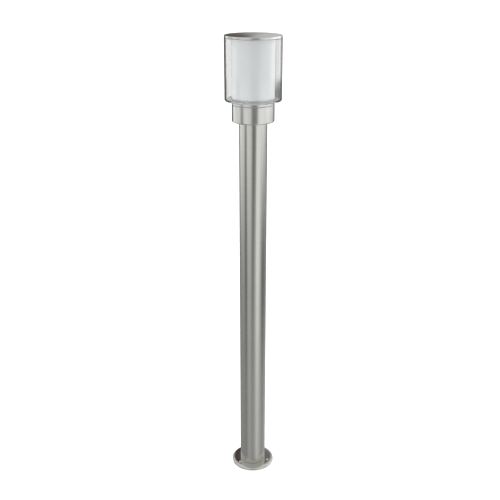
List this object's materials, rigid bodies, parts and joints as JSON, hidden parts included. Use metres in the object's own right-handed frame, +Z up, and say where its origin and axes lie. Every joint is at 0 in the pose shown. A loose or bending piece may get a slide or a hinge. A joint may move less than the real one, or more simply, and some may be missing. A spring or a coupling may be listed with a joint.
{
  "type": "bollard light",
  "caption": "Slim brushed-steel bollard light: tall round pole on a bolt-down flange, short collar, clear cylinder around an opal tube, flat steel lid.",
  "frame": {"origin": "centre of the underside of the base flange, on the pole's axis, at floor level", "axes": "+Z up along the pole; -Y is the side seen from the front; the two head screws lie along X"},
  "size_m": [0.12, 0.12, 1.027],
  "materials": {
    "pole_steel": "brushed lengthwise",
    "collar_steel": "brushed round",
    "lid_steel": "circular brushed",
    "flange_steel": "fine circular turned",
    "zinc_steel": "zinc plated",
    "screw_steel": "plain steel",
    "brass": "plain brass",
    "nickel": "nickel plated",
    "board_aluminium": "matte",
    "clear_glass": "clear, glossy",
    "opal_plastic": "opal white, satin",
    "lamp_opal": "frosted white",
    "white_plastic": "moulded white",
    "nylon": "natural nylon",
    "ceramic": "glazed white",
    "rubber": "matte black",
    "silicone": "translucent grey",
    "black_insulator": "vitrified black",
    "brown_insulation": "smooth sheath",
    "blue_insulation": "smooth sheath",
    "green_insulation": "green with a yellow stripe"
  },
  "bodies": {
    "post": {"base_flange": "flange_steel", "foot_grommet": "rubber", "pole_tube": "pole_steel", "pole_top_plate": "zinc_steel", "collar_cup": "collar_steel", "collar_grommet": "rubber", "collar_gasket": "silicone", "weld_nut_left": "zinc_steel", "weld_nut_right": "zinc_steel", "holder_bracket": "zinc_steel", "bracket_screw_left": "screw_steel", "bracket_screw_right": "screw_steel", "collar_screw_left": "screw_steel", "collar_screw_right": "screw_steel", "lampholder_body": "ceramic", "socket_shell": "brass", "centre_contact": "brass", "holder_screw_left": "screw_steel", "holder_screw_right": "screw_steel", "terminal_block": "nylon", "terminal_screw_live": "brass", "terminal_screw_earth": "brass", "terminal_screw_neutral": "brass", "earth_tag": "brass", "earth_screw": "screw_steel", "lead_live": "brown_insulation", "lead_neutral": "blue_insulation", "lead_earth": "green_insulation"},
    "head": {"carrier_ring": "collar_steel", "lower_glass_gasket": "silicone", "clear_cylinder": "clear_glass", "glass_seal": "silicone", "centring_ring": "nylon", "opal_tube": "opal_plastic", "lid_gasket": "silicone", "lid_insert": "white_plastic", "lid": "lid_steel"},
    "left_head_screw": {"head_screw_left": "screw_steel"},
    "right_head_screw": {"head_screw_right": "screw_steel"},
    "lamp_foot": {"lamp_tip": "nickel"},
    "lamp": {"lamp_cap": "nickel", "lamp_insulator": "black_insulator", "lamp_housing": "white_plastic", "led_board": "board_aluminium", "lamp_globe": "lamp_opal"}
  },
  "joints": [
    {"name": "head_lift", "type": "slide", "parent": "post", "child": "head", "axis": [0, 0, 1], "range_m": [0, 0.15]},
    {"name": "left_head_screw_out", "type": "slide", "parent": "post", "child": "left_head_screw", "axis": [-1, 0, 0], "range_m": [0, 0.0028]},
    {"name": "right_head_screw_out", "type": "slide", "parent": "post", "child": "right_head_screw", "axis": [1, 0, 0], "range_m": [0, 0.0028]},
    {"name": "lamp_rise", "type": "slide", "parent": "post", "child": "lamp_foot", "axis": [0, 0, 1], "range_m": [0, 0.0282]},
    {"name": "lamp_turn", "type": "hinge", "parent": "lamp_foot", "child": "lamp", "pos_m": [0, 0, 0.8945], "axis": [0, 0, 1], "range_deg": [0, 2790]}
  ],
  "couplings": [
    {"joint": "lamp_rise", "follows": "lamp_turn", "m_per_rad": 0.00057751}
  ]
}
